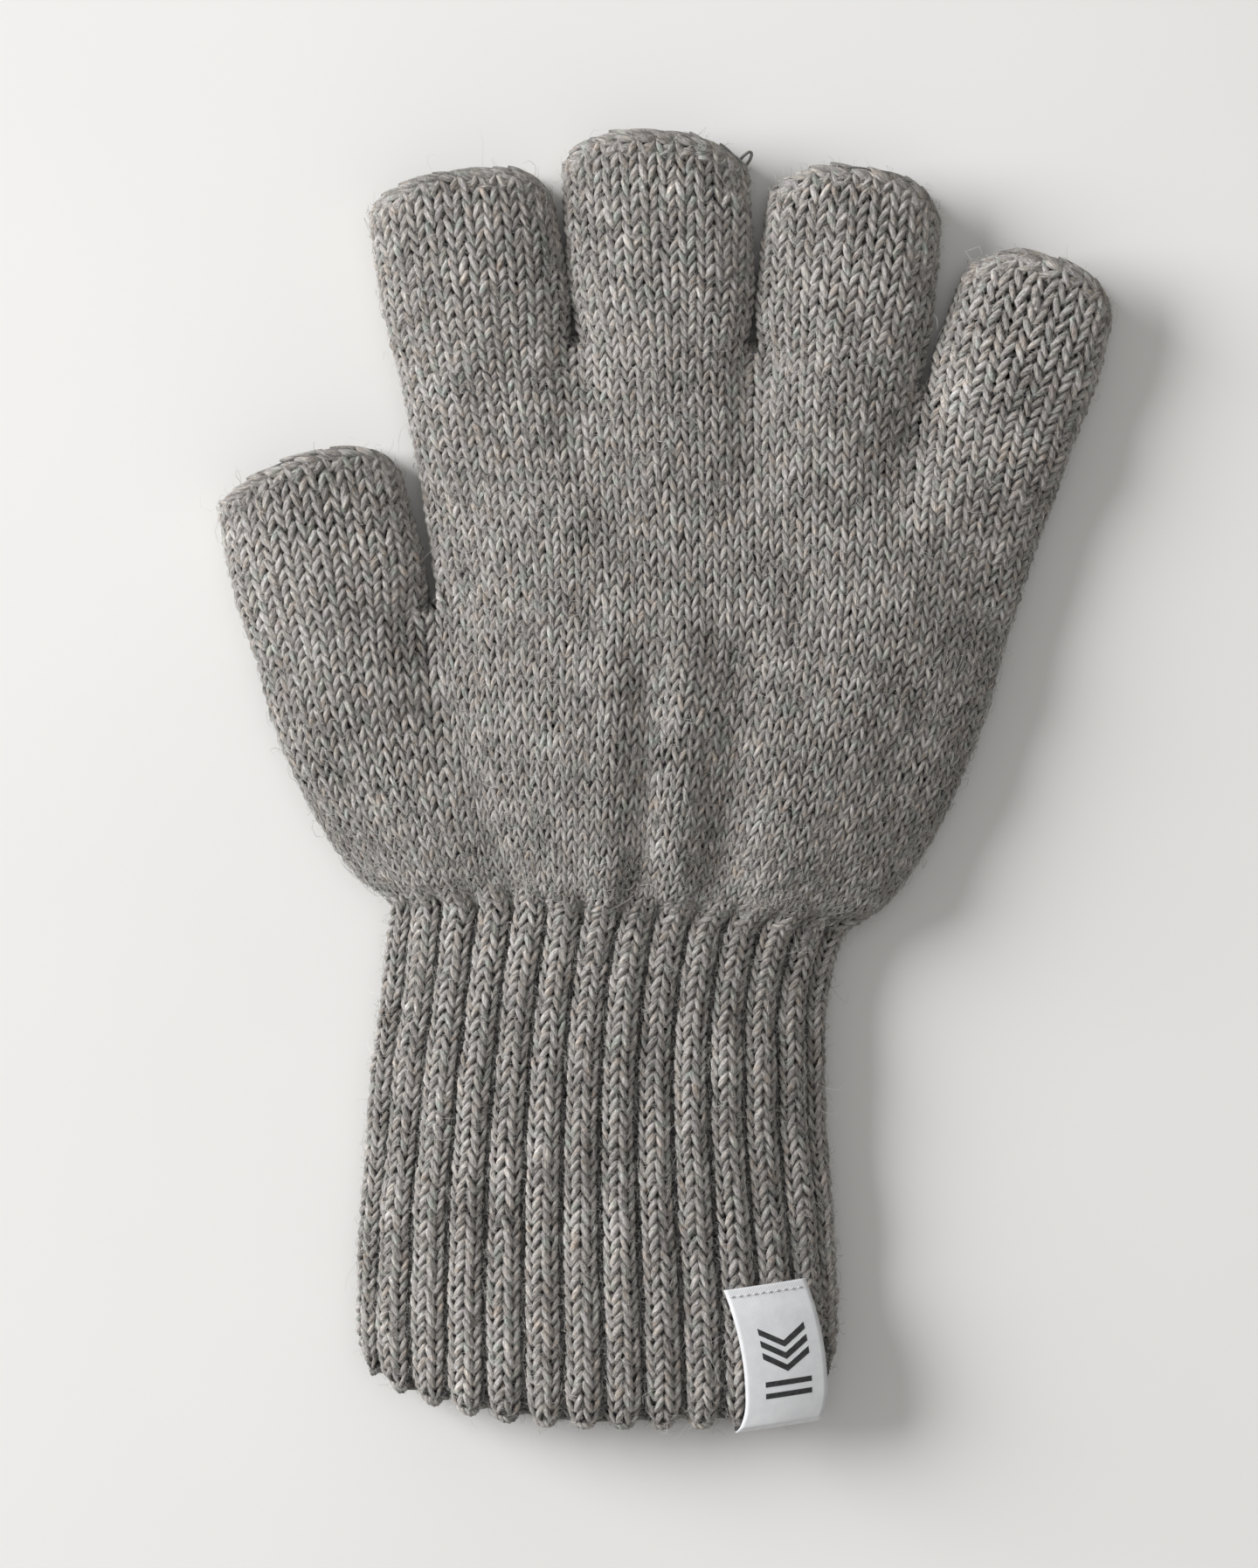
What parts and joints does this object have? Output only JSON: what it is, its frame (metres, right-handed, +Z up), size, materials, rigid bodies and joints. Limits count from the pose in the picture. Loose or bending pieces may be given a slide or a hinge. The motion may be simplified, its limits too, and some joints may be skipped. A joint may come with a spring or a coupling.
{
  "type": "knitted fingerless glove",
  "caption": "Knitted fingerless glove with a long ribbed cuff, open finger and thumb tubes with chain edges, and a folded ribbon label.",
  "frame": {"origin": "centre of the glove's outline on the surface that it lies on", "axes": "+Y along the hand towards the fingertips, +X across the hand away from the thumb, +Z up through the front layer that carries the label"},
  "size_m": [0.1558, 0.2248, 0.016],
  "materials": {
    "knit_wool": "melange grey wool yarn in plain knit and rib, fuzzy, matte",
    "edge_yarn": "the same grey wool yarn, bound off in a chain, matte",
    "closing_yarn": "the same grey wool yarn, darned over the crotches, matte",
    "satin_ribbon": "white fine twill satin ribbon, soft sheen",
    "sewing_thread": "white polyester sewing thread",
    "print_ink": "black print, matte"
  },
  "bodies": {
    "hand": {"five_finger_palm": "knit_wool", "four_finger_palm": "knit_wool", "thumb_crotch_stitch": "closing_yarn", "index_crotch_stitch": "closing_yarn", "middle_crotch_stitch": "closing_yarn", "ring_crotch_stitch": "closing_yarn"},
    "thumb": {"thumb_tube": "knit_wool", "thumb_chain_edge": "edge_yarn"},
    "index": {"index_tube": "knit_wool", "index_chain_edge": "edge_yarn"},
    "middle": {"middle_tube": "knit_wool", "middle_chain_edge": "edge_yarn"},
    "ring": {"ring_tube": "knit_wool", "ring_chain_edge": "edge_yarn"},
    "little": {"little_tube": "knit_wool", "little_chain_edge": "edge_yarn"},
    "cuff": {"cuff_ribbing": "knit_wool", "cuff_starting_edge": "edge_yarn", "ribbon_label": "satin_ribbon", "label_seam_thread": "sewing_thread", "label_print": "print_ink"}
  },
  "joints": [
    {"name": "thumb_fold", "type": "hinge", "parent": "hand", "child": "thumb", "pos_m": [-0.0553, 0.0254, 0.0125], "axis": [0.9603, 0.2788, 0], "range_deg": [0, 90]},
    {"name": "index_fold", "type": "hinge", "parent": "hand", "child": "index", "pos_m": [-0.031, 0.0758, 0.0125], "axis": [1, 0, 0], "range_deg": [0, 90]},
    {"name": "middle_fold", "type": "hinge", "parent": "hand", "child": "middle", "pos_m": [0, 0.0758, 0.0125], "axis": [1, 0, 0], "range_deg": [0, 90]},
    {"name": "ring_fold", "type": "hinge", "parent": "hand", "child": "ring", "pos_m": [0.03, 0.0748, 0.0125], "axis": [1, 0, 0], "range_deg": [0, 90]},
    {"name": "little_fold", "type": "hinge", "parent": "hand", "child": "little", "pos_m": [0.0578, 0.0678, 0.0125], "axis": [1, 0, 0], "range_deg": [0, 90]},
    {"name": "cuff_fold", "type": "hinge", "parent": "hand", "child": "cuff", "pos_m": [-0.0079, -0.0235, 0.0136], "axis": [-0.9984, 0.0557, 0], "range_deg": [0, 90]}
  ]
}
